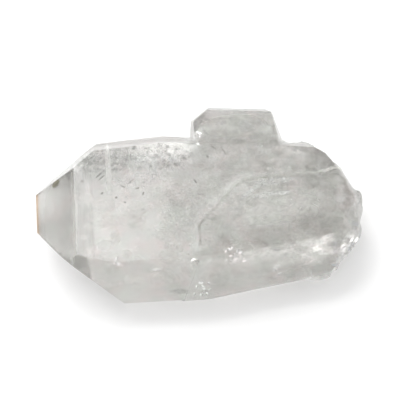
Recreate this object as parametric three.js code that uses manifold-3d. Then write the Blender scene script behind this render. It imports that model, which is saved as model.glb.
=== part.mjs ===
// Clear quartz crystal of tabular habit, lying on its broad rear prism face.
// Millimetres. X runs along the long (c) axis with the chisel-shaped point at -X,
// Y runs across the tablet, and Z is up from the face that the crystal lies on.
import * as THREE from "three";
import { mergeVertices } from "three/addons/utils/BufferGeometryUtils.js";
import Module from "manifold-3d";

const wasm = await Module();
wasm.setup();

// Overall size of the tablet
const THICKNESS = 16;
const TIP_X = -34.9;
const FAR_TOP_EDGE_Y = 10.6;
const NEAR_TOP_EDGE_Y = -15;

// Heights of the edges that run around the waist of the tablet
const TIP_RIDGE_Z = 9.4;
const FAR_WAIST_Z = 7.4;
const NEAR_WAIST_Z = 6.2;
const NEAR_WAIST_Y = -20.6;

// Where the front rhombohedral face meets the broad top face
const FRONT_SHOULDER_X = -26.4;

// Angles of quartz: a side prism face leans 30 degrees up when a broad one lies level,
// and a rhombohedral face meets the long axis at 51.8 degrees
const LEVEL_UP = 90;
const PRISM_LEAN = 30;
const RHOMB_LEAN = 51.8;
const SIDE_RHOMB_TURN = 132.2;
const SIDE_RHOMB_LEAN = 23.1;

// The second crystal, grown over the base end in parallel, stands this far proud
const OVERGROWTH_RISE = 0.6;
const OVERGROWTH_X = -1;
const NEAR_STEP = 0.25;

// The side crystal and the corner crystal start inside the tablet, at these depths
const SIDE_CRYSTAL_ROOT_Y = 6;
const CORNER_CRYSTAL_ROOT_Y = -12;

// Blank that every crystal is cut from, and the cutter that takes one face off it
const BLANK = 110;
const CUTTER = 200;

// Roundness of the shell-shaped scars at the broken base
const SCAR_SEGMENTS = 26;
const SCAR_RINGS = 16;

// Roundness of the knobs there, and of the angular chips in the smooth faces
const KNOB_DETAIL = 1;
const CHIP_DETAIL = 0;

// A face is given by the way it looks: turn is its compass angle from +X towards +Y,
// lean is its angle up from level, and at is a point that it passes through.
const mainFaces = [
  { name: "broad top prism", turn: 0, lean: LEVEL_UP, at: [0, 0, THICKNESS] },
  { name: "broad rear prism", turn: 0, lean: -LEVEL_UP, at: [0, 0, 0] },
  { name: "far upper prism", turn: 94.5, lean: PRISM_LEAN + 2, at: [-18, FAR_TOP_EDGE_Y, THICKNESS] },
  { name: "far lower prism", turn: 90.6, lean: -PRISM_LEAN, at: [-21.5, 16.5, FAR_WAIST_Z] },
  { name: "far upper taper", turn: 85, lean: PRISM_LEAN + 2, at: [1.8, FAR_TOP_EDGE_Y, THICKNESS] },
  { name: "far lower taper", turn: 85, lean: -34, at: [10, 14.4, 7] },
  { name: "near upper prism", turn: -90, lean: PRISM_LEAN, at: [0, NEAR_TOP_EDGE_Y, THICKNESS] },
  { name: "near lower prism", turn: -90, lean: -PRISM_LEAN, at: [0, NEAR_WAIST_Y, NEAR_WAIST_Z] },
  { name: "near upper taper", turn: -80, lean: 28, at: [3.2, -14.6, THICKNESS] },
  { name: "near lower taper", turn: -79, lean: -26, at: [2.5, -19.6, NEAR_WAIST_Z] },
  { name: "front rhomb", turn: 180, lean: RHOMB_LEAN, at: [FRONT_SHOULDER_X, 0, THICKNESS] },
  { name: "rear rhomb", turn: 180, lean: -RHOMB_LEAN, at: [TIP_X, 0, TIP_RIDGE_Z] },
  { name: "far upper rhomb", turn: 129.5, lean: 25, at: [-28.76, 4.71, THICKNESS] },
  { name: "far lower rhomb", turn: 131.5, lean: -24, at: [-22.6, 16.3, 6.4] },
  { name: "near upper rhomb", turn: -SIDE_RHOMB_TURN, lean: SIDE_RHOMB_LEAN, at: [-29.7, -12.2, 13.4] },
  { name: "steep near rhomb", turn: -103.9, lean: 29.3, at: [-26.3, -13.2, THICKNESS] },
  { name: "near lower rhomb", turn: -134.8, lean: -21.7, at: [-26, -15.4, 12.4] },
  { name: "near tip facet", turn: -135.3, lean: -SIDE_RHOMB_LEAN, at: [-34.64, -5.28, 9.5] },
];

const overgrowthFaces = [
  { name: "raised top", turn: 0, lean: LEVEL_UP, at: [0, 0, THICKNESS + OVERGROWTH_RISE] },
  { name: "underside", turn: 0, lean: -LEVEL_UP, at: [0, 0, 1] },
  { name: "raised near prism", turn: -81.5, lean: 28, at: [3.2, -15.3, THICKNESS] },
  { name: "raised near lower", turn: -81, lean: -26, at: [2.1, -20.6, NEAR_WAIST_Z] },
  { name: "near step", turn: -90, lean: PRISM_LEAN, at: [0, NEAR_TOP_EDGE_Y - NEAR_STEP, THICKNESS] },
  { name: "near lower step", turn: -90, lean: -PRISM_LEAN, at: [0, NEAR_WAIST_Y - NEAR_STEP, NEAR_WAIST_Z] },
  { name: "near shoulder", turn: -80, lean: 84.5, at: [18, -8.8, THICKNESS + OVERGROWTH_RISE] },
  { name: "left ledge", turn: 180, lean: 22, at: [OVERGROWTH_X, -12, THICKNESS] },
  { name: "slanting ledge", turn: 136, lean: 40, at: [1.1, -5.5, THICKNESS] },
  { name: "bend of the ledge", turn: 122, lean: 42, at: [8.2, 1.3, THICKNESS] },
  { name: "far ledge", turn: 93, lean: 46, at: [17.9, 2.3, THICKNESS] },
];

const sideCrystalFaces = [
  { name: "top prism", turn: 88, lean: 74, at: [7.3, 14, 13.3] },
  { name: "rear prism", turn: 0, lean: -LEVEL_UP, at: [0, 0, 1.4] },
  { name: "far upper prism", turn: 85, lean: 33, at: [8.2, 22, 8.6] },
  { name: "far lower prism", turn: 85, lean: -28, at: [8.2, 22, 8.6] },
  { name: "left upper bevel", turn: 128, lean: 24, at: [1.4, 21.2, 9] },
  { name: "left lower bevel", turn: 136, lean: -20, at: [0.4, 20.6, 8] },
  { name: "left shoulder", turn: 150, lean: 20, at: [-0.9, 19.6, 9] },
  { name: "left side", turn: 180, lean: 6, at: [-1.3, 18, 8] },
  { name: "right bevel", turn: 52, lean: 18, at: [15.6, 20.8, 9] },
  { name: "right lower bevel", turn: 40, lean: -30, at: [16.6, 19.6, 6] },
  { name: "right side", turn: 12, lean: 12, at: [17, 18, 9] },
];

// A small parallel crystal on the near side, at the corner of the base
const cornerCrystalFaces = [
  { name: "upper side", turn: -86, lean: 32, at: [24.4, -18.1, NEAR_WAIST_Z] },
  { name: "lower side", turn: -86, lean: -PRISM_LEAN, at: [24.4, -18.1, NEAR_WAIST_Z] },
  { name: "top bevel", turn: -80, lean: 58, at: [24.4, -17.1, 8.4] },
  { name: "underside", turn: 0, lean: -LEVEL_UP, at: [0, 0, 1.8] },
  { name: "left end", turn: -146, lean: 8, at: [22.2, -17.9, NEAR_WAIST_Z] },
  { name: "right end", turn: -42, lean: -6, at: [25.6, -18, NEAR_WAIST_Z] },
];

// Broken base: its scalloped outline seen from above, from the notch beside the side
// crystal round to the near side
const breakOutline = [
  [17.6, 17], [19.6, 11.9], [21.1, 12.9], [23, 13.2], [24.7, 12.2], [26, 10.2], [28.5, 8.2],
  [30.7, 6], [32.2, 3], [33, 0.7], [34.6, 0], [34.9, -2], [34.1, -5.7], [33.4, -10.2],
  [31.7, -12.2], [29.7, -13.6], [28.4, -15.8], [27.9, -17.3], [26.4, -18.4], [24.8, -19.2],
  [22.6, -20.4],
];
const BREAK_STEPS = 62;

// Past its two ends the break runs on straight, towards these places beside the tablet
const BREAK_FAR_END_X = 16.4;
const BREAK_NEAR_END_X = 14;

// The break rounds off towards the top and the underside: at each height the outline is
// drawn in towards the middle by a share of its distance, and slid along the end
const BREAK_MIDDLE = [4, -3];
const breakLevels = [
  { z: -1, drawnIn: 0.12, slide: -1.1 },
  { z: 2.2, drawnIn: 0.06, slide: 0.6 },
  { z: 5.4, drawnIn: 0.015, slide: -0.3 },
  { z: 8.6, drawnIn: 0, slide: 0 },
  { z: 11.4, drawnIn: 0.02, slide: 0.2 },
  { z: 14, drawnIn: 0.05, slide: -0.5 },
  { z: 17.4, drawnIn: 0.11, slide: 0.6 },
];

// Knobs of small crystals along the break, and scars where chips came off it
const baseKnobs = [
  { at: [22.8, 9.6, 8.4], size: [3, 3, 4.6], roll: 12 },
  { at: [32, -1.8, 10.8], size: [2.4, 2.1, 2.8], roll: 25 },
  { at: [30.4, -9, 5.4], size: [2.7, 3.2, 3.6], roll: 70 },
];

const baseScars = [
  { at: [32.4, 9.4, 17.6], size: [6.4, 5.6, 6.6] },
  { at: [37.4, 0.6, 18.6], size: [7.4, 4.8, 7.4] },
  { at: [36.4, -8.6, 18.2], size: [7.2, 4.6, 7] },
  { at: [32.6, -16.2, 16.4], size: [6.6, 5, 7] },
  { at: [24.8, -20.4, 15.8], size: [6.4, 3.8, 6] },
  { at: [23.4, 15.6, 16.4], size: [4.6, 4.8, 6.4] },
  { at: [36.8, 3.4, 1.2], size: [6, 5.4, 6.4] },
  { at: [28.8, 12.6, 0.4], size: [6.4, 5, 6.2] },
  { at: [36.2, -7.4, -0.2], size: [6.4, 5, 5.8] },
  { at: [30.4, -16.8, 0.2], size: [6.6, 5, 5.2] },
];

// A row of smaller scars follows the break round, at heights and widths that take turns
const SMALL_SCAR_COUNT = 15;
const SMALL_SCAR_DEPTH = 0.9;
const smallScarHeights = [11.8, 5.2, 8.9, 3.4, 13];
const smallScarSizes = [[5, 5, 4.2], [6.4, 6, 5], [4.4, 4.4, 5.4], [5.6, 5.6, 4]];

// Angular chips in the smooth faces, each by the place it sits at
const surfaceChips = [
  { name: "corner of point and near side", at: [-18.5, -15.9, 17.1], size: [2.2, 1.7, 1.7], roll: 20 },
  { name: "near prism, left", at: [-10.1, -17.3, 13.1], size: [2, 1, 1.3], roll: 65 },
  { name: "near top edge", at: [-2.2, -16.1, 15.4], size: [0.9, 1.1, 1.9], roll: 35 },
  { name: "near top edge, middle", at: [5.9, -15.8, 16.6], size: [3.2, 1.4, 1.5], roll: 50 },
  { name: "near prism, low", at: [-0.8, -20.7, 9], size: [1.4, 1.2, 2.6], roll: 15 },
  { name: "near prism, right", at: [14.7, -17.2, 10.3], size: [0.9, 0.8, 1.4], roll: 80 },
  { name: "corner beside the side crystal", at: [-0.6, 12.1, 16.1], size: [1.7, 1.5, 1.6], roll: 10 },
];

function toSolid(geometry) {
  const bare = geometry.clone();
  bare.deleteAttribute("normal");
  bare.deleteAttribute("uv");
  const merged = mergeVertices(bare);
  return new wasm.Manifold(new wasm.Mesh({
    numProp: 3,
    vertProperties: new Float32Array(merged.attributes.position.array),
    triVerts: new Uint32Array(merged.index.array),
  }));
}

function outwardNormal({ turn, lean }) {
  const turnAngle = THREE.MathUtils.degToRad(turn);
  const leanAngle = THREE.MathUtils.degToRad(lean);
  return new THREE.Vector3(
    Math.cos(leanAngle) * Math.cos(turnAngle),
    Math.cos(leanAngle) * Math.sin(turnAngle),
    Math.sin(leanAngle),
  );
}

function beyondFace(face) {
  const block = new THREE.BoxGeometry(CUTTER, CUTTER, CUTTER);
  block.translate(CUTTER / 2, 0, 0);
  const facing = new THREE.Quaternion().setFromUnitVectors(new THREE.Vector3(1, 0, 0), outwardNormal(face));
  block.applyQuaternion(facing);
  block.translate(...face.at);
  return toSolid(block);
}

function cutFaces(solid, faces) {
  return faces.reduce((body, face) => body.subtract(beyondFace(face)), solid);
}

function grownCrystal(faces) {
  return cutFaces(toSolid(new THREE.BoxGeometry(BLANK, BLANK, BLANK)), faces);
}

function lump({ at, size, roll }, detail) {
  const pebble = new THREE.IcosahedronGeometry(1, detail);
  pebble.scale(...size);
  pebble.rotateX(THREE.MathUtils.degToRad(roll));
  pebble.translate(...at);
  return toSolid(pebble);
}

function scar({ at, size }) {
  const shell = new THREE.SphereGeometry(1, SCAR_SEGMENTS, SCAR_RINGS);
  shell.scale(...size);
  shell.translate(...at);
  return toSolid(shell);
}

function breakCurve() {
  return new THREE.SplineCurve(breakOutline.map(([x, y]) => new THREE.Vector2(x, y)));
}

// Everything that stays when the base is broken off: a stack of rings, joined by flat walls
function keptByBreak() {
  const beside = BLANK / 2;
  const ring = [
    new THREE.Vector2(BREAK_FAR_END_X, beside),
    ...breakCurve().getSpacedPoints(BREAK_STEPS),
    new THREE.Vector2(BREAK_NEAR_END_X, -beside),
    new THREE.Vector2(-BLANK, -beside),
    new THREE.Vector2(-BLANK, beside),
  ];
  const [middleX, middleY] = BREAK_MIDDLE;
  const count = ring.length;
  const positions = [];
  const triangles = [];
  for (const { z, drawnIn, slide } of breakLevels) {
    for (const point of ring) {
      positions.push(
        point.x + (middleX - point.x) * drawnIn,
        point.y + (middleY - point.y) * drawnIn + slide,
        z,
      );
    }
  }
  for (let level = 0; level + 1 < breakLevels.length; level += 1) {
    for (let i = 0; i < count; i += 1) {
      const here = level * count + i;
      const next = level * count + ((i + 1) % count);
      triangles.push(here, here + count, next, next, here + count, next + count);
    }
  }
  const topRing = (breakLevels.length - 1) * count;
  const bottomMiddle = breakLevels.length * count;
  positions.push(middleX, middleY, breakLevels[0].z);
  positions.push(middleX, middleY, breakLevels.at(-1).z);
  for (let i = 0; i < count; i += 1) {
    const next = (i + 1) % count;
    triangles.push(bottomMiddle, i, next);
    triangles.push(bottomMiddle + 1, topRing + next, topRing + i);
  }
  const block = new THREE.BufferGeometry();
  block.setAttribute("position", new THREE.BufferAttribute(new Float32Array(positions), 3));
  block.setIndex(triangles);
  return toSolid(block);
}

function smallScars() {
  const curve = breakCurve();
  const middle = new THREE.Vector2(...BREAK_MIDDLE);
  return Array.from({ length: SMALL_SCAR_COUNT }, (_, i) => {
    const size = smallScarSizes[i % smallScarSizes.length];
    const edge = curve.getPointAt((i + 1) / (SMALL_SCAR_COUNT + 0.5));
    const outward = edge.clone().sub(middle).normalize();
    const centre = edge.addScaledVector(outward, size[0] - SMALL_SCAR_DEPTH);
    return { at: [centre.x, centre.y, smallScarHeights[i % smallScarHeights.length]], size };
  });
}

function takeScars(solid, scars) {
  return scars.reduce((body, chip) => body.subtract(scar(chip)), solid);
}

function takeChips(solid, chips) {
  return chips.reduce((body, chip) => body.subtract(lump(chip, CHIP_DETAIL)), solid);
}

function breakBase(solid) {
  const rounded = solid.intersect(keptByBreak());
  const knobbed = baseKnobs.reduce((body, knob) => body.add(lump(knob, KNOB_DETAIL)), rounded);
  return takeScars(knobbed, [...baseScars, ...smallScars()]);
}

function quartzCrystal() {
  const sideRoot = { turn: -90, lean: 0, at: [0, SIDE_CRYSTAL_ROOT_Y, 0] };
  const cornerRoot = { turn: 90, lean: 0, at: [0, CORNER_CRYSTAL_ROOT_Y, 0] };
  const main = grownCrystal(mainFaces);
  const overgrowth = grownCrystal(overgrowthFaces);
  const sideCrystal = grownCrystal([...sideCrystalFaces, sideRoot]);
  const cornerCrystal = grownCrystal([...cornerCrystalFaces, cornerRoot]);
  const tablet = breakBase(main.add(overgrowth).add(cornerCrystal));
  return takeChips(tablet.add(sideCrystal), surfaceChips);
}

function toGeometry(solid) {
  const mesh = solid.getMesh();
  const geometry = new THREE.BufferGeometry();
  geometry.setAttribute("position", new THREE.BufferAttribute(new Float32Array(mesh.vertProperties), 3));
  geometry.setIndex(new THREE.BufferAttribute(new Uint32Array(mesh.triVerts), 1));
  return geometry;
}

// The origin is the middle of the crystal's outline, at the height of the surface it lies on
function standOnOrigin(geometry) {
  geometry.computeBoundingBox();
  const { min, max } = geometry.boundingBox;
  geometry.translate(-(min.x + max.x) / 2, -(min.y + max.y) / 2, -min.z);
  return geometry;
}

function clearQuartz() {
  return new THREE.MeshStandardMaterial({
    color: 0xd9dad5,
    roughness: 0.12,
    metalness: 0,
    transparent: true,
    opacity: 0.45,
    flatShading: true,
  });
}

const crystal = new THREE.Mesh(standOnOrigin(toGeometry(quartzCrystal())), clearQuartz());
crystal.name = "quartz_crystal";

const part = new THREE.Group();
part.add(crystal);

export default part;
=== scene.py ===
# %% [markdown]
# # A clear quartz crystal of tabular habit
#
# The real object is one piece of rock crystal about 70 mm long. It is flattened, so it lies
# on one of its broad prism faces, with its chisel-shaped point to the left and its broken
# base to the right. Most of what the eye meets is the white table seen through 16 mm of
# quartz, together with what is sealed in the quartz. So the look comes from three things:
# a clean closed surface with real facets, plain glass values for the quartz, and thin
# sealed films and specks inside it.
#
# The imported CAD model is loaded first. It is the fixed frame that everything sits in.

# %% Load the frame
import math
import random

import bmesh
import bpy
import numpy as np
from mathutils import Euler, Matrix, Vector
from mathutils.bvhtree import BVHTree


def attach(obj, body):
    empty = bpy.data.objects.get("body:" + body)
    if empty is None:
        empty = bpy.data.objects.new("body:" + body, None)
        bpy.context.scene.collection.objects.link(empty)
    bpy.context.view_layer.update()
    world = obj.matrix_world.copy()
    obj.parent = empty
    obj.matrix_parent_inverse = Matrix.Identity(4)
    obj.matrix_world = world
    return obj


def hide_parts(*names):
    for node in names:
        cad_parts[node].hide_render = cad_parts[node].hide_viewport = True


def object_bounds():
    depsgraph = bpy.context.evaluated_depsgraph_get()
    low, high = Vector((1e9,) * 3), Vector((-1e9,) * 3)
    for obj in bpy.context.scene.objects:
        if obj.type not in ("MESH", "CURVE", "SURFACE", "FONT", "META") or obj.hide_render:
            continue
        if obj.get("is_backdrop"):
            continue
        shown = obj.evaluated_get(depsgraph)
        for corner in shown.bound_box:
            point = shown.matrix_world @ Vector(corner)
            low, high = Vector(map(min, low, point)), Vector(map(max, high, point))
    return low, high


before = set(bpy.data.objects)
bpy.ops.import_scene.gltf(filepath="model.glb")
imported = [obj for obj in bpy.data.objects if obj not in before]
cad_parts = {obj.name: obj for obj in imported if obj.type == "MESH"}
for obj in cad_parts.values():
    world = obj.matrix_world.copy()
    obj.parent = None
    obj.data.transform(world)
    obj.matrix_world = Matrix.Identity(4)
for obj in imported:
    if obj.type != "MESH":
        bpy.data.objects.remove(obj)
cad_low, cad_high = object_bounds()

MM = 0.001
print("CAD box in mm:", [round(v / MM, 2) for v in (cad_high - cad_low)])

# %% [markdown]
# ## Small helpers
#
# Colours are written as the hex values that a paint program shows. Blender mixes light in
# linear values, so one function turns the first into the second. Another adds a shader node
# with its settings, values and links, which keeps the materials readable.

# %% Helpers for colours and nodes
def srgb(code):
    """The linear colour of a hex value such as "d9dad5"."""
    channels = [int(code[i:i + 2], 16) / 255 for i in (0, 2, 4)]
    linear = [c / 12.92 if c <= 0.04045 else ((c + 0.055) / 1.055) ** 2.4 for c in channels]
    return (*linear, 1.0)


def add_node(tree, kind, values=None, links=None, **settings):
    """Adds a node, sets its options and socket values, and links sockets into it."""
    node = tree.nodes.new(kind)
    for name, value in settings.items():
        setattr(node, name, value)
    for socket, value in (values or {}).items():
        node.inputs[socket].default_value = value
    for socket, source in (links or {}).items():
        tree.links.new(source, node.inputs[socket])
    return node


def new_material(name):
    """An empty node material and its node tree."""
    material = bpy.data.materials.new(name)
    material.use_nodes = True
    material.node_tree.nodes.clear()
    return material, material.node_tree

# %% [markdown]
# ## Camera
#
# The crystal is photographed from above and in front. A long lens from 45 cm away keeps its
# opposite edges nearly parallel, as they are in the photograph. The aim point is a little to
# the right of the crystal's middle, which is how the picture is framed.

# %% Camera
CAMERA_AZIMUTH = math.radians(-3.5)
CAMERA_ELEVATION = math.radians(67)
CAMERA_DISTANCE = 450 * MM
CAMERA_LENS = 184.1
CAMERA_SENSOR = 36
AIM = Vector((0.033, -0.90, 8)) * MM
AIM_RIGHT = 1.4 * MM
AIM_DOWN = 0.6 * MM

camera_back = Vector((
    math.sin(CAMERA_AZIMUTH) * math.cos(CAMERA_ELEVATION),
    -math.cos(CAMERA_AZIMUTH) * math.cos(CAMERA_ELEVATION),
    math.sin(CAMERA_ELEVATION),
))
camera_right = Vector((math.cos(CAMERA_AZIMUTH), math.sin(CAMERA_AZIMUTH), 0))
camera_up = camera_back.cross(camera_right)
aim = AIM + camera_right * AIM_RIGHT - camera_up * AIM_DOWN

camera_data = bpy.data.cameras.new("camera")
camera_data.lens = CAMERA_LENS
camera_data.sensor_width = CAMERA_SENSOR
camera_data.clip_start = 0.01
camera_data.clip_end = 10
camera = bpy.data.objects.new("camera", camera_data)
bpy.context.scene.collection.objects.link(camera)
camera.location = aim + camera_back * CAMERA_DISTANCE
camera.rotation_euler = (-camera_back).to_track_quat("-Z", "Y").to_euler()
bpy.context.scene.camera = camera
print("camera at", [round(v, 3) for v in camera.location])

# %% [markdown]
# ## Table
#
# The table stands for a sheet of matt white paper. A curved studio backdrop would also do, but
# one flat round sheet, far wider than the crystal, is all it takes, and its edge shows only from
# very low down, as a faint horizon. It lies a hair below the crystal, so that the crystal's flat
# rear face and the paper never share a plane, which would flicker.

# %% Table of matt white paper
TABLE_RADIUS = 1.6
TABLE_DROP = 0.05 * MM

bpy.ops.object.select_all(action="DESELECT")
bpy.ops.mesh.primitive_circle_add(vertices=96, radius=TABLE_RADIUS, fill_type="NGON",
                                  location=(0, 0, -TABLE_DROP))
floor = bpy.context.object
floor.name = "table"
floor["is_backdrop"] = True

paper, tree = new_material("matt white paper")
surface = add_node(tree, "ShaderNodeBsdfPrincipled", {
    "Base Color": srgb("f4f4f4"),
    "Roughness": 0.9,
    "Specular IOR Level": 0.1,
})
add_node(tree, "ShaderNodeOutputMaterial", links={"Surface": surface.outputs["BSDF"]})
floor.data.materials.append(paper)
print("table", round(2 * TABLE_RADIUS, 1), "m across")

# %% [markdown]
# ## Studio light
#
# A clear stone shows its surroundings, so an even white sky is the plainest thing to give it:
# the quartz is then drawn by its edges and by what is sealed in it. Lamps alone would leave
# black gaps in it. One soft box above and behind the crystal, to the left, throws its short soft
# shadow towards the viewer and clears the table to white.

# %% Studio light
SKY_LEVEL = 1.0
SOFTBOX_PLACE = Vector((-0.2, 0.32, 0.52))
SOFTBOX_SIZE = (0.5, 0.4)
SOFTBOX_WATTS = 2.65

world = bpy.data.worlds.new("studio")
bpy.context.scene.world = world
world.use_nodes = True
tree = world.node_tree
tree.nodes.clear()
sky = add_node(tree, "ShaderNodeBackground", {"Color": srgb("ffffff"), "Strength": SKY_LEVEL})
add_node(tree, "ShaderNodeOutputWorld", links={"Surface": sky.outputs["Background"]})

softbox_data = bpy.data.lights.new("softbox", "AREA")
softbox_data.shape = "RECTANGLE"
softbox_data.size, softbox_data.size_y = SOFTBOX_SIZE
softbox_data.energy = SOFTBOX_WATTS
softbox = bpy.data.objects.new("softbox", softbox_data)
bpy.context.scene.collection.objects.link(softbox)
softbox.location = SOFTBOX_PLACE
softbox.rotation_euler = (-SOFTBOX_PLACE).to_track_quat("-Z", "Y").to_euler()

print("softbox", round(SOFTBOX_PLACE.length, 2), "m away,", SOFTBOX_WATTS, "W")

# %% [markdown]
# ## Light paths
#
# A ray that enters quartz is bent, mirrored inside several times and bent again on its way out,
# and it passes many thin films on the way. With Blender's usual few bounces such a ray ends
# inside and turns black, so more of them are allowed. The plain Standard view keeps white white.

# %% Light paths
scene = bpy.context.scene
scene.view_settings.view_transform = "Standard"
scene.cycles.max_bounces = 24
scene.cycles.transmission_bounces = 20
scene.cycles.transparent_max_bounces = 32
scene.cycles.sample_clamp_indirect = 6
print("bounces", scene.cycles.max_bounces, "and through quartz", scene.cycles.transmission_bounces)

# %% [markdown]
# ## Working on one piece at a time
#
# Blender's operators act on whatever is selected. So each step first selects only its own
# piece, and edges and faces are then picked in code, by where they are and how they lie.

# %% Helpers for pieces
def select_only(*pieces):
    """Selects these pieces alone and makes the first one active."""
    bpy.ops.object.select_all(action="DESELECT")
    for piece in pieces:
        piece.select_set(True)
    bpy.context.view_layer.objects.active = pieces[0]


def apply_modifier(piece, kind, **settings):
    """Adds a modifier, sets it, and applies it to the mesh."""
    select_only(piece)
    modifier = piece.modifiers.new(kind.lower(), kind)
    for name, value in settings.items():
        setattr(modifier, name, value)
    bpy.ops.object.modifier_apply(modifier=modifier.name)


def apply_place(piece):
    """Moves the piece's place, turn and size into its mesh."""
    select_only(piece)
    bpy.ops.object.transform_apply(location=True, rotation=True, scale=True)


def noise_texture(name, size, depth=2):
    """A cloudy noise for the Displace modifier, with its lump size in metres."""
    texture = bpy.data.textures.new(name, "CLOUDS")
    texture.noise_scale = size
    texture.noise_depth = depth
    texture.cloud_type = "COLOR"
    return texture


def hand_over(piece, material):
    """Gives the piece its finish and lets it ride on the crystal's body."""
    piece.data.materials.clear()
    piece.data.materials.append(material)
    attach(piece, "root")
    print(piece.name, len(piece.data.polygons), "faces")

# %% [markdown]
# ## The crystal
#
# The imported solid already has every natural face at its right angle, so the visible crystal
# starts as a merged copy of it. The flat faces are kept flat, because a clear crystal shows
# every false curve. What a copy lacks is the fine rounding of its edges, the low hills of its
# faces and the roughness of the break.

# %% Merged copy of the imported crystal
SAME_POINT = 0.001 * MM
SAME_PLANE = math.radians(0.3)

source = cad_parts["quartz_crystal"]
crystal = source.copy()
crystal.data = source.data.copy()
crystal.name = "rock_crystal"
for key in list(crystal.keys()):
    del crystal[key]
crystal.parent = None
bpy.context.scene.collection.objects.link(crystal)
select_only(crystal)
bpy.ops.object.mode_set(mode="EDIT")
bpy.ops.mesh.select_all(action="SELECT")
bpy.ops.mesh.remove_doubles(threshold=SAME_POINT)
bpy.ops.mesh.dissolve_limited(angle_limit=SAME_PLANE)
bpy.ops.object.mode_set(mode="OBJECT")
print("crystal faces", len(crystal.data.polygons))

# %% [markdown]
# ## Edges, growth relief and the break
#
# Three things set a natural crystal apart from cut glass. Its edges are rounded, by a hairline
# at the point, by half a millimetre at the base and by over a millimetre on the side crystal.
# Its faces grew in low hills a tenth of a millimetre high, which bend what is seen through them.
# And its base is broken and regrown, with low knobs.
#
# The edges come first, with the Bevel operator. Its edges are picked by how sharp and how long
# they are and by where they lie in millimetres, so that the small facets of the chips keep their
# crisp rims.

# %% Rounded edges
LONG_EDGE = 1.4 * MM
SHARP_EDGE = math.radians(7)
LARGE_FACE = 5 * MM * MM
OFF_THE_TABLE = 0.6
SIDE_CRYSTAL_Y = 12.4
SIDE_CRYSTAL_X = (-3, 19.5)
BASE_X = 17
SIDE_CRYSTAL_ROUND = 1.3
BASE_ROUND = 0.5
FACE_ROUND = 0.14


def select_edges(piece, wanted):
    """Selects the edges of the piece that pass the test, and stays in edit mode."""
    bpy.ops.object.mode_set(mode="EDIT")
    bpy.ops.mesh.select_mode(type="EDGE")
    bpy.ops.mesh.select_all(action="DESELECT")
    mesh = bmesh.from_edit_mesh(piece.data)
    count = 0
    for edge in mesh.edges:
        if len(edge.link_faces) == 2 and wanted(edge):
            edge.select_set(True)
            count += 1
    mesh.select_flush(True)
    bmesh.update_edit_mesh(piece.data)
    return count


def is_natural_edge(edge):
    """A long sharp outer edge between two grown faces, and not the rim of a chip."""
    small = min(face.calc_area() for face in edge.link_faces) < LARGE_FACE
    sharp = edge.is_convex and edge.calc_face_angle() > SHARP_EDGE
    return sharp and not small and edge.calc_length() > LONG_EDGE


def middle_of(edge):
    """The middle of an edge, in millimetres."""
    return (edge.verts[0].co + edge.verts[1].co) / 2 / MM


def is_side_crystal_edge(edge):
    x, y, z = middle_of(edge)
    on_side = y > SIDE_CRYSTAL_Y and SIDE_CRYSTAL_X[0] < x < SIDE_CRYSTAL_X[1]
    return on_side and z > OFF_THE_TABLE and is_natural_edge(edge)


def is_base_edge(edge):
    x, y, z = middle_of(edge)
    return x > BASE_X and z > OFF_THE_TABLE and is_natural_edge(edge)


def round_edges(piece, wanted, radius, segments):
    """Bevels the edges that pass the test; the radius is in millimetres."""
    select_only(piece)
    count = select_edges(piece, wanted)
    bpy.ops.mesh.bevel(offset=radius * MM, segments=segments, profile=0.5, clamp_overlap=True)
    bpy.ops.object.mode_set(mode="OBJECT")
    print("rounded", count, "edges by", radius, "mm")


round_edges(crystal, is_side_crystal_edge, SIDE_CRYSTAL_ROUND, 5)
round_edges(crystal, is_base_edge, BASE_ROUND, 3)
round_edges(crystal, is_natural_edge, FACE_ROUND, 2)

# %% [markdown]
# ## Points for the relief
#
# A displacement needs points to move, and large flat faces have none. Slicing the mesh with a
# grid of planes adds them and leaves every face exactly where it was. The displacements that
# follow press inwards, so the crystal stays inside its measured size, and they spare the face
# that it rests on.

# %% A grid of cuts, so that the faces have points to move
GRID_STEPS = (0.6, 0.6, 0.9)


def cut_grid(piece, axis, step):
    """Slices the whole mesh with planes across one axis, without removing anything."""
    normal = [0, 0, 0]
    normal[axis] = 1
    places = np.arange(cad_low[axis] + step / 2, cad_high[axis], step)
    for place in places:
        point = [0, 0, 0]
        point[axis] = place
        bpy.ops.mesh.select_all(action="SELECT")
        bpy.ops.mesh.bisect(plane_co=point, plane_no=normal)
    return len(places)


select_only(crystal)
bpy.ops.object.mode_set(mode="EDIT")
cuts = [cut_grid(crystal, axis, step * MM) for axis, step in enumerate(GRID_STEPS)]
bpy.ops.object.mode_set(mode="OBJECT")
print("cuts", cuts, "faces", len(crystal.data.polygons))

# %% [markdown]
# ## Where the relief is strong
#
# Time wore this crystal unevenly: its point is still flat and sharp, while the side crystal,
# the overgrowth and the base are softer. Painting that by hand would not follow a change of
# size, so each point gets its weights from where it lies. Modifiers read such weights as vertex
# groups. Low down the weights fade, which keeps the resting face flat.

# %% Weights of the relief
WORN_CHIP = (-9.6, -18, 11.6)
SHOULDER = (-1.7, -14.8, 16)


def ramp(value, start, end):
    """Rises smoothly from 0 at the start to 1 at the end."""
    share = min(max((value - start) / (end - start), 0), 1)
    return share * share * (3 - 2 * share)


def weigh(piece, name, weight_of):
    """A vertex group with a weight for each point, worked out from its place in mm."""
    group = piece.vertex_groups.new(name=name)
    for vertex in piece.data.vertices:
        group.add([vertex.index], weight_of(vertex.co / MM), "REPLACE")


def hill_weight(p):
    """Low growth hills, a third as high near the point."""
    return ramp(p.z, 0.3, 1.5) * (0.35 + 0.65 * ramp(p.x, -12, 6))


def knob_weight(p):
    """Lumps of the break, only at the base end."""
    return ramp(p.z, 0.3, 2.0) * ramp(p.x, 19, 30)


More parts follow.
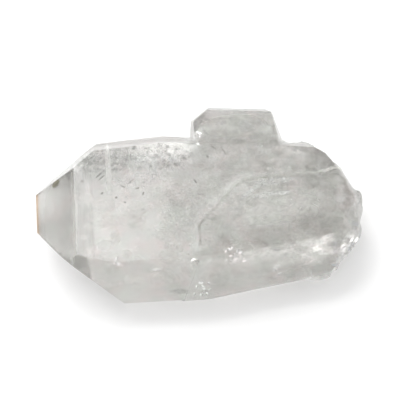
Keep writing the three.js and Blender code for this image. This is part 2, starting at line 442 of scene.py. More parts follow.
def worn_weight(p):
    """Softened parts: the side crystal, the base, one chip, and the overgrowth by half."""
    on_side = ramp(p.y, 12.6, 14.5) * ramp(p.x, -4, -2) * (1 - ramp(p.x, 20, 24))
    near_chip = 1 - ramp(math.dist(p, WORN_CHIP), 2.5, 4.5)
    overgrowth = 0.45 * ramp(p.x, -4, 2)
    return ramp(p.z, 0.1, 0.8) * max(on_side, ramp(p.x, 25, 30), near_chip, overgrowth)


def shoulder_weight(p):
    """The small shoulder where the overgrowth begins, which is worn round."""
    return 1 - ramp(math.dist(p, SHOULDER), 1.2, 2.2)


weigh(crystal, "shoulder", shoulder_weight)
weigh(crystal, "hills", hill_weight)
weigh(crystal, "knobs", knob_weight)
weigh(crystal, "worn", worn_weight)

print("weights for", len(crystal.data.vertices), "points")

# %% [markdown]
# ## Relief of the faces and of the base
#
# Smooth modifiers wear the softened parts down. Two Displace modifiers then press cloudy noise
# into the faces: broad low hills all over, and coarser knobs at the base. It is real relief and
# not a bump in the material, because a clear stone shows its shape by how it bends light. The
# sharp edges stay sharp in the shading, since only angles under 30 degrees are smoothed.

# %% Relief of the faces and of the base
WORN_ROUNDS = 24
SHOULDER_ROUNDS = 60
HILL_SIZE = 3.4 * MM
HILL_DEPTH = 0.28 * MM
KNOB_SIZE = 3.0 * MM
KNOB_DEPTH = 1.5 * MM
CRISP_ANGLE = math.radians(30)

apply_modifier(crystal, "SMOOTH", factor=0.5, iterations=WORN_ROUNDS, vertex_group="worn")
apply_modifier(crystal, "SMOOTH", factor=0.5, iterations=SHOULDER_ROUNDS, vertex_group="shoulder")
apply_modifier(crystal, "DISPLACE", texture=noise_texture("growth_hills", HILL_SIZE, 3),
               strength=HILL_DEPTH, mid_level=1.0, texture_coords="LOCAL", vertex_group="hills")
apply_modifier(crystal, "DISPLACE", texture=noise_texture("base_knobs", KNOB_SIZE, 1),
               strength=KNOB_DEPTH, mid_level=0.8, texture_coords="LOCAL", vertex_group="knobs")
select_only(crystal)
bpy.ops.object.shade_smooth_by_angle(angle=CRISP_ANGLE)
print("relief done, faces", len(crystal.data.polygons))

# %% [markdown]
# ## Clear quartz: where each finish lies
#
# The crystal's faces differ in finish. Those of the point are glassy, and towards the base, on
# the side crystal and on the near side they are etched, which blurs what lies behind them. The
# places of these finishes could be painted on, but a soft step along one axis for each, worked
# out from the crystal's own millimetres, is exact and stays put on the stone from every side.

# %% Zones of the quartz
GLASSY = 0.17
ETCHED = 0.25

quartz, tree = new_material("rock crystal, natural growth faces")
place = add_node(tree, "ShaderNodeTexCoord").outputs["Object"]
axes = add_node(tree, "ShaderNodeSeparateXYZ", links={"Vector": place})
ZONES = {
    "base half": ("X", -9, 4, 0.0, 1.0),
    "side crystal": ("Y", 11, 13, 0.0, 1.0),
    "near side": ("Y", -15.5, -14, 0.7, 0.0),
    "tip": ("X", -34.6, -33.9, 1.0, 0.0),
    "far side": ("Y", 10.9, 11.7, 0.0, 1.0),
    "point half": ("X", -4, -2, 1.0, 0.0),
}
zones = {}
for zone, (axis, start, end, low, high) in ZONES.items():
    zones[zone] = add_node(tree, "ShaderNodeMapRange", {
        "From Min": start * MM,
        "From Max": end * MM,
        "To Min": low,
        "To Max": high,
    }, {"Value": axes.outputs[axis]}, interpolation_type="SMOOTHSTEP").outputs["Result"]
print("zones:", ", ".join(zones))

# %% [markdown]
# ## Clear quartz: etched and glassy faces
#
# Etching by nature is patchy. So the zones are joined into one measure of etching, which
# becomes a roughness, and a soft noise of 5 mm patches makes it a little uneven. The eye takes
# this as a dull sheen that comes and goes.

# %% Roughness of the faces
PATCH_SIZE = 5 * MM

far_etching = add_node(tree, "ShaderNodeMath", links={0: zones["base half"], 1: zones["side crystal"]},
                       operation="MAXIMUM").outputs["Value"]
etching = add_node(tree, "ShaderNodeMath", links={0: far_etching, 1: zones["near side"]},
                   operation="MAXIMUM").outputs["Value"]
etched = add_node(tree, "ShaderNodeMapRange", {"To Min": GLASSY, "To Max": ETCHED},
                  {"Value": etching}, interpolation_type="SMOOTHSTEP").outputs["Result"]
patches = add_node(tree, "ShaderNodeTexNoise", {
    "Scale": 1 / PATCH_SIZE,
    "Detail": 3.0,
    "Roughness": 0.55,
}, {"Vector": place})
uneven = add_node(tree, "ShaderNodeMapRange", {
    "From Min": 0.35,
    "From Max": 0.65,
    "To Min": -0.02,
    "To Max": 0.02,
}, {"Value": patches.outputs["Fac"]}, interpolation_type="SMOOTHSTEP").outputs["Result"]
finish = add_node(tree, "ShaderNodeMath", links={0: etched, 1: uneven},
                  operation="ADD").outputs["Value"]
print("roughness from", GLASSY, "to", ETCHED)

# %% [markdown]
# ## Clear quartz: faint tints
#
# Colourless quartz is never quite colourless. Faint green, grey and pink tints drift over it in
# patches of a few millimetres. Growth lines run along it as slightly dimmer streaks. They are
# drawn as noise squeezed across their length, and coarser than real ones, which would be too
# fine to show. The narrow far face is multiplied by a pinkish grey: a faint pink tint together
# with painted shade that dims this face. The very tip is tinted peach, which is painted prismatic
# colour of its sharp edge.
#
# A Mix node has a set of sockets for each kind of data, all with the same names, so its sockets
# for colours are reached by their numbers.

# %% Tints of the faces
MIX_SHARE, MIX_FIRST, MIX_SECOND = 0, 6, 7
MIXED = 2
TINT_SIZE = 3.6 * MM
LINE_SIZE = 4.5 * MM

tints = add_node(tree, "ShaderNodeTexNoise", {
    "Scale": 1 / TINT_SIZE,
    "Detail": 3.0,
    "Roughness": 0.6,
    "Distortion": 0.5,
}, {"Vector": place})
tint = add_node(tree, "ShaderNodeValToRGB", links={"Fac": tints.outputs["Fac"]})
tint.color_ramp.elements[0].position = 0.36
tint.color_ramp.elements[0].color = srgb("f3f6f2")
tint.color_ramp.elements[1].position = 0.64
tint.color_ramp.elements[1].color = srgb("f8f2f1")
middle_tint = tint.color_ramp.elements.new(0.5)
middle_tint.color = srgb("f6f6f5")
long_grain = add_node(tree, "ShaderNodeMapping", {"Scale": (1, 9, 4)}, {"Vector": place})
growth_lines = add_node(tree, "ShaderNodeTexNoise", {
    "Scale": 1 / LINE_SIZE,
    "Detail": 3.0,
    "Roughness": 0.6,
}, {"Vector": long_grain.outputs["Vector"]})
line_share = add_node(tree, "ShaderNodeMapRange", {"From Min": 0.5, "From Max": 0.62},
                      {"Value": growth_lines.outputs["Fac"]}, interpolation_type="SMOOTHSTEP")
lined = add_node(tree, "ShaderNodeMix", {MIX_SECOND: srgb("f9f9f8")}, {
    MIX_SHARE: line_share.outputs["Result"],
    MIX_FIRST: tint.outputs["Color"],
}, data_type="RGBA", blend_type="MULTIPLY")
far_face = add_node(tree, "ShaderNodeMath", links={0: zones["far side"], 1: zones["point half"]},
                    operation="MINIMUM").outputs["Value"]
# painted shade: the narrow far face is dimmed by a pinkish grey, besides its faint pink tint
far_face_shaded = add_node(tree, "ShaderNodeMix", {MIX_SECOND: srgb("e6deda")}, {
    MIX_SHARE: far_face,
    MIX_FIRST: lined.outputs[MIXED],
}, data_type="RGBA", blend_type="MULTIPLY")
# painted prismatic colour: the very tip is tinted peach
tip_tinted = add_node(tree, "ShaderNodeMix", {MIX_SECOND: srgb("f3bb8e")}, {
    MIX_SHARE: zones["tip"],
    MIX_FIRST: far_face_shaded.outputs[MIXED],
}, data_type="RGBA")
print("tints", len(tint.color_ramp.elements))

# %% [markdown]
# ## Clear quartz: the stone itself
#
# The crystal is one clear solid, so it is a Principled shader with full transmission and
# quartz's own IOR of 1.544, which gives the eye bent edges and bright rims. Its faint grey could
# be a tint on the surface, but then a thin edge would be as grey as the thick middle. Absorption
# in the volume greys the light by how far it travels.

# %% Rock crystal, natural growth faces
QUARTZ_IOR = 1.544
GREY_PER_METRE = 5.5

glass = add_node(tree, "ShaderNodeBsdfPrincipled", {
    "IOR": QUARTZ_IOR,
    "Transmission Weight": 1.0,
}, {
    "Base Color": tip_tinted.outputs[MIXED],
    "Roughness": finish,
})
absorption = add_node(tree, "ShaderNodeVolumeAbsorption", {
    "Color": srgb("b6b2a6"),
    "Density": GREY_PER_METRE,
})
add_node(tree, "ShaderNodeOutputMaterial", links={
    "Surface": glass.outputs["BSDF"],
    "Volume": absorption.outputs["Volume"],
})
hand_over(crystal, quartz)
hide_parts("quartz_crystal")

# %% [markdown]
# ## Healed cracks and growth films
#
# A crack that closed again while the crystal grew leaves a thin film of tiny liquid bubbles.
# It shows as a lacy sheet, bright where it mirrors the light and dark where it doesn't; in the
# crack films that dark is painted shade in the film's colour. Some growth zones hold such films
# too. Each one is a ball pressed flat into a ragged lens. The lace is a fine pattern in how much
# it covers, and it thins out towards the rim.

# %% Lace of bubbles
def lace_material(name, light, dark, grain, least, most, thin, thick):
    """A film whose cover and tone break up over grains of this size in millimetres."""
    material, tree = new_material(name)
    place = add_node(tree, "ShaderNodeTexCoord").outputs["Object"]
    lace = add_node(tree, "ShaderNodeTexNoise", {
        "Scale": 1 / (grain * MM),
        "Detail": 8.0,
        "Roughness": 0.68,
        "Distortion": 1.2,
    }, {"Vector": place})
    tones = add_node(tree, "ShaderNodeTexNoise", {
        "Scale": 1.7 / (grain * MM),
        "Detail": 4.0,
        "Roughness": 0.6,
    }, {"Vector": place})
    share = add_node(tree, "ShaderNodeMapRange", {
        "From Min": least,
        "From Max": most,
        "To Min": thin,
        "To Max": thick,
    }, {"Value": lace.outputs["Fac"]})
    rim = add_node(tree, "ShaderNodeAttribute", attribute_name="fade").outputs["Fac"]
    cover = add_node(tree, "ShaderNodeMath", links={0: share.outputs["Result"], 1: rim},
                     operation="MULTIPLY").outputs["Value"]
    tone = add_node(tree, "ShaderNodeValToRGB", links={"Fac": tones.outputs["Fac"]})
    tone.color_ramp.elements[0].position = 0.42
    tone.color_ramp.elements[0].color = srgb(dark)
    tone.color_ramp.elements[1].position = 0.58
    tone.color_ramp.elements[1].color = srgb(light)
    film = add_node(tree, "ShaderNodeBsdfPrincipled", {
        "Roughness": 0.6,
        "Specular IOR Level": 0.3,
    }, {
        "Base Color": tone.outputs["Color"],
        "Alpha": cover,
    })
    add_node(tree, "ShaderNodeOutputMaterial", links={"Surface": film.outputs["BSDF"]})
    return material


# %% [markdown]
# ## Finishes of the films
#
# One recipe serves all films. A crack film is open lace of bright and dark bubbles with clear
# quartz between them; its dark tone is painted shade. Haze and growth bands are closed and even,
# and only make the stone milkier. Dim films are grey films that are painted shade: they darken the
# centre, the base end and the lower near side, and one draws a faint dim arc. The olive one is an
# iron stain. The numbers after the two tones are the grain in millimetres, the range of noise that
# is used, and the least and most cover.

# %% Finishes of the films
# painted shade: the crack lace's dark tone stands for bubbles that mirror dark
veil = lace_material("healed crack, painted shade in its lace", "e2e2de", "92938e", 1.5, 0.4, 0.6, 0.0, 0.5)
bright_veil = lace_material("healed crack, bright film", "ffffff", "d8d9d8", 1.1, 0.44, 0.66, 0.0, 0.7)
wisp_veil = lace_material("healed crack, white film", "ffffff", "f0f0ee", 1.1, 0.4, 0.64, 0.2, 0.85)
# pale haze; at the tip it is painted light that brightens the tip face
thin_haze = lace_material("pale haze under the face, painted light at the tip", "fbfbf8", "f3f3ef", 2.4, 0.3, 0.64, 0.1, 0.2)
side_haze = lace_material("hazy quartz of the side crystal",
                          "f0f0ec", "d6d6d1", 2.6, 0.3, 0.6, 0.25, 0.5)
pale_veil = lace_material("growth band, pale film", "fbfbf8", "ecece8", 2.0, 0.3, 0.6, 0.2, 0.5)
# a grey film: painted shade over the centre of the main face, and a faint dim arc
thin_shade = lace_material("dim film, arc and painted shade", "bcbcb6", "9a9b95", 1.6, 0.35, 0.6, 0.0, 0.22)
# painted shade: grey films that darken the base end and the lower near side
painted_shade_film = lace_material("painted shade, dark film", "b4b4ae", "9a9b95", 2.2, 0.3, 0.6, 0.1, 0.3)
olive_veil = lace_material("iron stain, olive", "a8a48c", "8f8b74", 1.0, 0.3, 0.6, 0.5, 0.8)
print("film finishes ready")

# %% [markdown]
# ## Finding the inside of the stone
#
# Whatever is sealed in a crystal must lie inside it, and the films follow its faces. A search
# tree of the crystal's faces answers both questions quickly: how deep a place lies, and where
# the nearest face is and how it slopes. Asking the mesh itself thousands of times is far slower.

# %% Where the surface is
skin = BVHTree.FromPolygons([v.co for v in crystal.data.vertices],
                            [list(p.vertices) for p in crystal.data.polygons])


def depth_in_quartz(point):
    """How deep a point lies under the surface in mm, or -1 outside."""
    hit, normal = skin.ray_cast(point, Vector((0, 0, 1)))[:2]
    if hit is None or normal.z <= 0:
        return -1
    return skin.find_nearest(point)[3] / MM


def seat_under_skin(near, depth, spin):
    """A place this deep under the face nearest to a point, and a turn parallel to that face."""
    hit, normal = skin.find_nearest(Vector(near) * MM)[:2]
    along = Vector((1, 0, 0))
    along = (along - normal * along.dot(normal)).normalized()
    turn = Matrix((along, normal.cross(along), normal)).transposed().to_4x4()
    spun = Matrix.Rotation(math.radians(spin), 4, "Z")
    return Matrix.Translation(hit - normal * depth * MM) @ turn @ spun


print("search tree of", len(crystal.data.polygons), "faces")

# %% [markdown]
# ## One film
#
# A film could be a flat sheet, but an open sheet has no inside and its border looks cut. So a
# ball is roughened by noise, pressed flat to a closed lens a tenth of a millimetre thick, and
# waved a little. Real films are thinner still, but a thinner lens would be no clearer to see. A
# "fade" attribute, made while it is still round, thins its cover out towards the rim. It is then
# laid parallel to the face nearest to it. Where it would reach past an edge of the stone, it is
# bisected and closed again.

# %% One sealed film
HALF_THICKNESS = 0.05 * MM
FILM_WAVE = 0.12 * MM
WAVE_SIZE = 3 * MM
LUMP_OVER_RAGGED = 1.6
CLEAR_RIM = 0.98
TINY_FACE = 0.002 * MM


def sealed_film(name, near, depth, size, spin, ragged, material, solid=0.5, stop_x=None):
    """A ragged ball pressed flat under the face nearest to a point, in millimetres.

    The part of it up to solid doesn't fade, and nothing of it lies right of stop_x.
    """
    bpy.ops.mesh.primitive_ico_sphere_add(subdivisions=5, radius=1)
    film = bpy.context.object
    film.name = name
    fade = [1 - ramp(math.hypot(v.co.x, v.co.y), solid, CLEAR_RIM) for v in film.data.vertices]
    film.data.attributes.new("fade", "FLOAT", "POINT").data.foreach_set("value", fade)
    film.scale = (size[0] / 2 * MM, size[1] / 2 * MM, min(size) / 4 * MM)
    apply_place(film)
    apply_modifier(film, "DISPLACE", texture=noise_texture(name, ragged * LUMP_OVER_RAGGED * MM),
                   direction="RGB_TO_XYZ", strength=ragged * MM, texture_coords="LOCAL")
    reach = max(abs(v.co.z) for v in film.data.vertices)
    film.scale = (1, 1, HALF_THICKNESS / reach)
    apply_place(film)
    apply_modifier(film, "DISPLACE", texture=noise_texture(name + "_wave", WAVE_SIZE),
                   direction="Z", strength=FILM_WAVE, texture_coords="LOCAL")
    film.matrix_world = seat_under_skin(near, depth, spin)
    apply_place(film)
    if stop_x is not None:
        bpy.ops.object.mode_set(mode="EDIT")
        bpy.ops.mesh.select_all(action="SELECT")
        bpy.ops.mesh.bisect(plane_co=(stop_x * MM, 0, 0), plane_no=(1, 0, 0),
                            clear_outer=True, use_fill=True)
        bpy.ops.mesh.select_all(action="SELECT")
        bpy.ops.mesh.dissolve_degenerate(threshold=TINY_FACE)
        bpy.ops.mesh.quads_convert_to_tris()
        bpy.ops.object.mode_set(mode="OBJECT")
    film.data.validate()
    bpy.ops.object.shade_smooth()
    hand_over(film, material)


# %% [markdown]
# ## Growth bands of the main face
#
# As the crystal grew, its faces moved outwards, and now and then a layer caught bubbles. Two
# such layers show as pale straight bands near the point, square to the length. The clear bright
# left half ends at a dim zone and a faint arc. The dim zone is painted shade: a wide grey film
# that darkens the centre of the face. These films are long and narrow or wide and very thin, and
# lie less than 2 mm deep.

# %% Growth bands of the main face
sealed_film("growth_band_wide", (-19.1, 5.2, 15), 0.4, (1.5, 12.5), 0, 0.25, pale_veil, solid=0.8)
sealed_film("growth_band_narrow", (-14.6, 5.4, 15), 0.4, (0.6, 10), 0, 0.15, pale_veil, solid=0.7)
# painted shade: a wide grey film darkens the centre of the main face
sealed_film("centre_painted_shade", (-3.4, -4.5, 15), 0.7, (14, 21), 0, 2.4, thin_shade, solid=0.2)
sealed_film("growth_arc", (-6.2, -2.3, 15), 1.8, (2.6, 10), 22, 1.4, thin_shade, solid=0.1)

# %% [markdown]
# ## Healed cracks of the far side
#
# A mottled band of healed cracks runs along the far edge of the main face. Dark and bright films
# lie over one another there, at depths that differ, so that they shift against each other
# when the stone is turned. The dark tones in this band are painted shade, of bubble films that
# mirror dark. One film with all tones would look painted on.

# %% Healed cracks of the far side
sealed_film("crack_far_left", (-19.8, 7.2, 15), 0.7, (14, 7), 0, 2.0, veil, solid=0.6)
sealed_film("crack_far_middle", (-7.5, 7.6, 15), 0.9, (17, 6.4), -4, 2.0, veil, solid=0.5)
sealed_film("crack_far_bright", (-9, 6, 15), 0.6, (18, 5.4), -6, 2.0, bright_veil, solid=0.4)
sealed_film("crack_far_low", (-14, 2.6, 15), 1.2, (17, 5), 8, 2.0, bright_veil, solid=0.3)

# %% [markdown]
# ## Wisps under the overgrowth
#
# The younger quartz over the base end is cloudier. Short white wisps lie just under its face,
# one of them slanting, and a broad pale cloud lies deeper. Next to the base lies a dim film, which
# is painted shade over the bright near part of the base end.

# %% Wisps under the overgrowth
sealed_film("wisp_slanting", (10.6, -1.6, 17), 0.4, (6.4, 1.1), 34, 0.5, wisp_veil, solid=0.7)
sealed_film("wisp_level_1", (14.4, -2.8, 17), 0.5, (10, 1.1), 4, 0.6, wisp_veil, solid=0.7)
sealed_film("wisp_level_2", (13, -8.3, 17), 0.9, (17, 3.2), 2, 1.0, pale_veil)
sealed_film("wisp_below_ledge", (15, 0.2, 17), 0.6, (12, 2.0), 6, 0.9, bright_veil)
# painted shade: a dim film darkens the bright near part of the base end
sealed_film("base_painted_shade", (24, -10, 17), 0.5, (13, 7), -10, 1.4, painted_shade_film, solid=0.3)
sealed_film("base_bloom", (17, -5.5, 17), 1.4, (24, 10), 0, 2.0, pale_veil)

# %% [markdown]
# ## Films of the side crystal, the near side and the tip
#
# The side crystal is hazy right through, which one wide film under its upper face stands for. On
# the near side a small dim wedge, painted shade that darkens the lower near side, ends at the
# overgrowth, and a thin haze follows it towards the base. The point is the clearest part, with
# one olive stain and a thin pale film that is painted light: it brightens the tip face where the
# light leaves it dark. Two of these films would reach past an edge of the stone, so they are cut
# off before it.

# %% Films of the side crystal, the near side and the tip
sealed_film("side_haze", (8.2, 15.8, 14), 1.0, (17, 7.4), 0, 0.8, side_haze, solid=0.75)
sealed_film("side_wisp_left", (5.2, 16.8, 14), 0.5, (3.6, 1.6), 12, 0.8, bright_veil)
sealed_film("side_wisp_right", (11.6, 16.0, 14), 0.5, (7, 4.4), -6, 1.2, bright_veil)
# painted shade: a dim wedge darkens the lower near side
sealed_film("near_wedge_painted_shade", (-5.6, -19.4, 7.6), 0.5, (6, 2), -8, 0.8, painted_shade_film, solid=0.2,
            stop_x=-2.6)
sealed_film("near_haze_base", (12, -16.5, 11.6), 0.6, (21, 7), 0, 0.8, thin_haze, solid=0.6)
# painted light: a thin pale film brightens the tip face where the light leaves it dark
sealed_film("tip_painted_light", (-30, -3.5, 14), 0.5, (10.5, 18), 0, 0.6, thin_haze, solid=0.85,
            stop_x=-25.9)
sealed_film("tip_stain", (-30.1, 3.9, 12.4), 0.3, (2.6, 1.6), 30, 0.4, olive_veil, solid=0.7)

# %% [markdown]
# ## Flakes and specks
#
# Everywhere in the quartz float tiny flat bubbles and chips of older growth. Each takes or gives
# a little light, and together they make the stone milky. A flake is far smaller than a film, so
# it needs no lace: one tone and one cover will do. Pale ones whiten the stone, and the bluish ones
# stand for the frosty crust at the base. The dim ones grey the base half, partly mottling and partly
# painted shade; the dark and bright crumbs are painted shade and painted highlights of bubbles.
# The flakes of the painted highlight along the step cover most, because they have to draw a line.
# A few bubbles lie so that they mirror the light like metal, and they are made as a mirror, which
# gives the eye small hard sparkles.

# %% Flake finishes
def flake_material(name, code, alpha, roughness):
    """Plain see-through film for flakes, with one tone and one cover."""
    material, tree = new_material(name)
    film = add_node(tree, "ShaderNodeBsdfPrincipled", {
        "Base Color": srgb(code),
        "Alpha": alpha,
        "Roughness": roughness,
        "Specular IOR Level": 0.4,
    })
    add_node(tree, "ShaderNodeOutputMaterial", links={"Surface": film.outputs["BSDF"]})
    return material


pale_flake = flake_material("bubble flakes, pale", "f4f3ef", 0.22, 0.6)
bubble_shade_flake = flake_material("bubble flakes, painted shade", "90908a", 0.3, 0.6)
bubble_highlight_flake = flake_material("bubble flakes, painted highlight", "ffffff", 0.6, 0.4)
soft_pale = flake_material("cloud of bubbles, pale", "f4f3ef", 0.13, 0.6)
dim_cloud_shade = flake_material("grey flakes, mottling and painted shade", "b9b8b2", 0.12, 0.6)
step_highlight_flakes = flake_material("painted highlight along the step", "fafaf6", 0.55, 0.5)
blue_flake = flake_material("bubble flakes, bluish", "f4f6ff", 0.2, 0.5)

glint, tree = new_material("mirror-like bubble, bright")
mirror = add_node(tree, "ShaderNodeBsdfPrincipled", {
    "Base Color": srgb("ffffff"),
    "Metallic": 1.0,
    "Roughness": 0.2,
})
add_node(tree, "ShaderNodeOutputMaterial", links={"Surface": mirror.outputs["BSDF"]})
print("flake finishes ready")

# %% [markdown]
# ## One flake and its copies
#
# One flake is modelled: a coarse ball of few faces, pressed flat and made ragged. It is then
# copied, each copy with its own mesh, size and turn, and the copies are joined into one piece.
# Particles or instances would be lighter, but a joined mesh is what other programs can read.

# %% One flake and its copies
FLAKE_FLATNESS = 0.12
FLAKE_LUMP = 0.5 * MM
FLAKE_RAGGED = 0.25 * MM


def new_flake():
    """One ragged flat flake, a millimetre across."""
    bpy.ops.mesh.primitive_ico_sphere_add(subdivisions=1, radius=0.5 * MM)
    flake = bpy.context.object
    flake.scale = (1, 1, FLAKE_FLATNESS)
    apply_place(flake)
    apply_modifier(flake, "DISPLACE", texture=noise_texture("flake", FLAKE_LUMP),
                   direction="RGB_TO_XYZ", strength=FLAKE_RAGGED, texture_coords="LOCAL")
    return flake


def place_flake(flake, place, size, turn):
    """A copy of the flake at a place in metres; size and turn are for its three axes."""
    piece = flake.copy()
    piece.data = flake.data.copy()
    piece.location = place
    piece.scale = size
    piece.rotation_euler = [math.radians(v) for v in turn]
    bpy.context.scene.collection.objects.link(piece)
    return piece


def join_flakes(flake, pieces, name, material):
    """Joins the copies into one piece and puts the first flake away."""
    bpy.data.objects.remove(flake)
    select_only(*pieces)
    bpy.ops.object.join()
    joined = bpy.context.object
    joined.name = name
    apply_place(joined)
    hand_over(joined, material)

# %% [markdown]
# ## Scattering flakes
#
# A seeded dice picks each place, so every run gives the same stone. A place counts only if it
# lies in the quartz at the depth that is asked for, and if the flake's four tips lie inside
# too, because a tip that pokes out of a face would show from the side.

# %% Scattering flakes
RIM_MARGIN = 0.15
ROOM_OVER_FLAKE = 0.35
TRIES_PER_FLAKE = 40
MOST_SWING = 25


def scatter_flakes(name, count, low, high, sizes, stretch, depths, material, seed, tilt=40):
    """Flakes all over a box in mm, kept where their depth in the quartz fits."""
    dice = random.Random(seed)
    flake = new_flake()
    pieces = []
    tries = 0
    while len(pieces) < count and tries < count * TRIES_PER_FLAKE:
        tries += 1
        point = Vector([dice.uniform(a, b) for a, b in zip(low, high)]) * MM
        size = sizes[0] + (sizes[1] - sizes[0]) * dice.random() ** 2
        turn = (dice.uniform(-tilt, tilt), dice.uniform(-tilt, tilt),
                dice.uniform(-MOST_SWING, MOST_SWING))
        if not depths[0] + size * ROOM_OVER_FLAKE < depth_in_quartz(point) < depths[1]:
            continue
        lie = Euler([math.radians(v) for v in turn]).to_matrix()
        half = size / 2 * MM
        tips = [(half * stretch, 0, 0), (-half * stretch, 0, 0), (0, half, 0), (0, -half, 0)]
        if min(depth_in_quartz(point + lie @ Vector(tip)) for tip in tips) > RIM_MARGIN * size:
            pieces.append(place_flake(flake, point, (size * stretch, size, size), turn))
    print(name, len(pieces), "of", count, "flakes after", tries, "tries")
    join_flakes(flake, pieces, name, material)


# %% [markdown]
# ## Clouds of flakes
#
# Small flakes fill the whole thickness, and large faint ones lie within a few millimetres of the
# faces as soft clouds. The base half has both pale and dim clouds, which gives it its uneven
# milky look; the dim ones are grey flakes, partly mottling and partly painted shade that darkens
# the base half. The left half has only a few pale ones, so it stays clear and bright. Each call
# gives the count, two corners of the box, the sizes, the stretch and the depths. Lengths are in
# millimetres.

# %% Clouds of flakes
DEEP = 99

scatter_flakes("flakes_all", 520, (-9, -12.5, 0.8), (34, 21, 16.3),
               (0.3, 1.3), 1.4, (1.2, DEEP), pale_flake, seed=1)
scatter_flakes("cloud_pale", 420, (0, -14, 1), (33, 12, 16.5),
               (0.6, 2.4), 1.6, (0.1, 4), soft_pale, seed=2, tilt=12)
# partly painted shade: grey flakes darken the base half, besides mottling it
scatter_flakes("cloud_dim", 250, (0, -14, 1), (29, 14, 16.5),
               (0.6, 2.4), 1.6, (0.15, 4), dim_cloud_shade, seed=4, tilt=12)
scatter_flakes("cloud_left", 60, (-25, -13.5, 1), (-6, 4, 15.8),
               (1.2, 3.6), 1.4, (0.3, 3), soft_pale, seed=11, tilt=8)
scatter_flakes("flakes_left", 90, (-27, -13.5, 0.8), (-6, 6, 15),
               (0.2, 0.7), 1.4, (1.2, DEEP), soft_pale, seed=12)
scatter_flakes("flakes_side", 110, (-2, 11.5, 1), (19, 21.5, 13),
               (0.5, 2.2), 1.2, (0.3, DEEP), soft_pale, seed=3, tilt=40)

# %% [markdown]
# ## Crumbs of the mottled band
#
# Between the healed cracks of the far side lie crumbs of dark and bright bubbles, close under
# the face, where they keep crisp outlines. Their tones are painted shade and painted highlights:
# a bubble looks dark or bright by what it mirrors. At the lump on the base a few pale flakes are
# a painted highlight, the glints of the knob.

# %% Crumbs of the mottled band, and of the base's lump
# painted shade: dark flakes for bubbles that mirror dark
scatter_flakes("crumbs_dark", 115, (-25, 4.5, 14), (-1, 12.4, 15.9),
               (0.2, 0.9), 1.5, (0.1, 1.2), bubble_shade_flake, seed=5, tilt=20)
# painted highlights: white flakes for bubbles that mirror light
scatter_flakes("crumbs_bright", 90, (-25, 4, 14), (0, 11.8, 15.9),
               (0.15, 0.5), 1.3, (0.1, 1.2), bubble_highlight_flake, seed=6, tilt=20)
# painted highlight: a cluster of pale flakes stands for the glints on the knob
scatter_flakes("base_knob", 16, (30.3, -6.6, 10), (34, -2.6, 16.2),
               (0.2, 0.8), 1.2, (0.1, 1.5), pale_flake, seed=8, tilt=80)

# %% [markdown]
# ## Painted highlight along the step of the overgrowth
#
# The step where the overgrowth closed over the older face catches the light as a pale line, and
# that highlight is painted: a line of pale flakes just under the face. The line climbs from the
# near side and then runs along the step to the base. A tube would be too even, so small flakes
# are strewn along a line of points, each dropped onto the upper face from above.

# %% Painted highlight along the step of the overgrowth
SEAM = [
    (1.35, -6.6), (3.6, -4.6), (5.6, -1.6), (7.6, 0.5), (9.6, 1.2),
    (13.5, 1.4), (17.7, 1.5), (25.6, 2.1), (30, 3.4),
]
SEAM_STEP = 0.16
SEAM_DEPTH = Vector((0, 0, 0.3 * MM))
SEAM_SPREAD = (0.12, 0.16)
ABOVE = 20

dice = random.Random(10)
flake = new_flake()
pieces = []
for (x0, y0), (x1, y1) in zip(SEAM, SEAM[1:]):
    for _ in range(round(math.dist((x0, y0), (x1, y1)) / SEAM_STEP)):
        share = dice.random()
        x = x0 + (x1 - x0) * share + dice.gauss(0, SEAM_SPREAD[0])
        y = y0 + (y1 - y0) * share + dice.gauss(0, SEAM_SPREAD[1])
        hit = skin.ray_cast(Vector((x, y, ABOVE)) * MM, Vector((0, 0, -1)))[0]
        if hit:
            size = dice.uniform(0.2, 0.6)
            pieces.append(place_flake(flake, hit - SEAM_DEPTH, (size * 1.8, size, size * 0.6),
                                      (0, 0, dice.uniform(-30, 30))))
# painted highlight: pale flakes draw the lit edge of the step
join_flakes(flake, pieces, "seam", step_highlight_flakes)

# %% [markdown]
# ## Frosty crust of the base
#
# Low on the broken end the quartz is frosted by many fine breaks, which scatter a bluish white.
# Flakes at all angles just under the knobs stand for them, and a pale cloud leads up to them.

# %% Frosty crust of the base
scatter_flakes("base_crust", 110, (26.5, -16, 3), (34.5, -7.5, 13),
               (0.5, 1.6), 1.3, (0.2, 1.2), blue_flake, seed=7, tilt=40)
scatter_flakes("base_cloud", 90, (17, -17, 8), (30, -10.5, 16),
               (0.8, 2.4), 1.5, (0.2, 1.6), soft_pale, seed=13, tilt=30)

# %% [markdown]
# ## Sparkles
#
# At chips and at the ends of cracks a few flat bubbles mirror the light and glitter. They lie
# nearly along the face over them, tilted by up to 25 degrees, so that some catch the light
# from each side. They gather around a few spots, and thin out away from each.

# %% Sparkles
SPARKLE_STRETCH = 1.6


def seat_flakes(name, spots, sizes, depths, lean, material, seed):
    """Flakes that lie along the faces; each spot is x, y, z and spread in mm and a count."""
    dice = random.Random(seed)
    flake = new_flake()
    pieces = []
    for x, y, z, spread, count in spots:
        for _ in range(count):
            near = (x + dice.gauss(0, spread), y + dice.gauss(0, spread), z + dice.gauss(0, spread))
            size = dice.uniform(*sizes)
            piece = place_flake(flake, (0, 0, 0), (1, 1, 1), (0, 0, 0))
            seat = seat_under_skin(near, dice.uniform(*depths), dice.uniform(0, 180))
            tilt = Matrix.Rotation(math.radians(dice.uniform(-lean, lean)), 4, "X")
            piece.matrix_world = seat @ tilt @ Matrix.Diagonal((size * SPARKLE_STRETCH, size, size, 1))
            pieces.append(piece)
    join_flakes(flake, pieces, name, material)


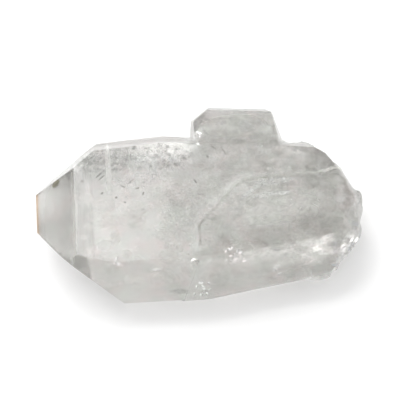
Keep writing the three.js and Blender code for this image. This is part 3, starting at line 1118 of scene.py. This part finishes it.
GLINTS = [
    (-18.1, -15.6, 15, 0.5, 10), (-0.7, -19.8, 8.2, 0.8, 16), (5.6, -15.0, 15.0, 0.9, 16),
    (14.7, -17.0, 9.3, 0.4, 4), (-0.3, 10.2, 15, 0.5, 8), (-26.6, 2.2, 15, 0.2, 2),
    (0.3, 13.0, 12.5, 0.5, 8), (32.2, -4.7, 14.7, 0.7, 10),
]
seat_flakes("glints", GLINTS, sizes=(0.3, 0.75), depths=(0.2, 0.4), lean=25, material=glint, seed=9)

# %% [markdown]
# ## Dark specks and dashes
#
# Grains of iron oxide sit close under the main face as brown-grey dots and short dashes, with one
# pair of darker grey needles near the point. The eye takes them as crisp marks just below the
# face, because they cover nearly all that lies under them. They are few and each has its own
# place, so they are listed: x, y, length and width in millimetres, and the turn in degrees.

# %% Dark specks and dashes
SPECK_LEVEL = 15.8
NEEDLE_PLACE = Vector((-20.84, 3.57, 15.82))
NEEDLE_GAP = Vector((0.28, -0.28, 0))
SPECKS = [
    (-24.65, 2.7, 0.5, 0.4, 10), (-20.6, -0.3, 0.6, 0.4, 60), (-17.7, -1.4, 0.5, 0.4, 20),
    (-15.9, -2.65, 0.4, 0.35, 0), (-12.05, -0.85, 0.8, 0.35, 70), (-14.6, 2.0, 1.6, 0.25, 40),
    (-16.2, 1.0, 1.1, 0.25, -30), (-13.2, 0.4, 0.8, 0.3, 20), (-1.05, 1.2, 1.0, 0.3, -60),
    (1.8, 6.8, 0.7, 0.3, -40), (5.2, 8.0, 2.4, 0.16, -62), (3.2, 8.8, 1.7, 0.16, -45),
]
flake = new_flake()
pieces = [
    place_flake(flake, Vector((x, y, SPECK_LEVEL)) * MM,
                (length * 1.2, width * 1.1, 0.4), (0, 0, turn))
    for x, y, length, width, turn in SPECKS
]
rust = flake_material("dark speck, iron oxide", "77726b", 0.75, 0.6)
join_flakes(flake, pieces, "specks", rust)

flake = new_flake()
pieces = [
    place_flake(flake, (NEEDLE_PLACE + NEEDLE_GAP * side) * MM, (2.0, 0.32, 0.3), (0, 0, 42))
    for side in (-1, 1)
]
needle_grey = flake_material("grey needles", "6e6f6a", 0.95, 0.5)
join_flakes(flake, pieces, "needles", needle_grey)

# %% [markdown]
# ## Sizes, and the end
#
# The box of the visual model is worked out at the end, in the same way as the CAD box.

# %% Finish
low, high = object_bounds()
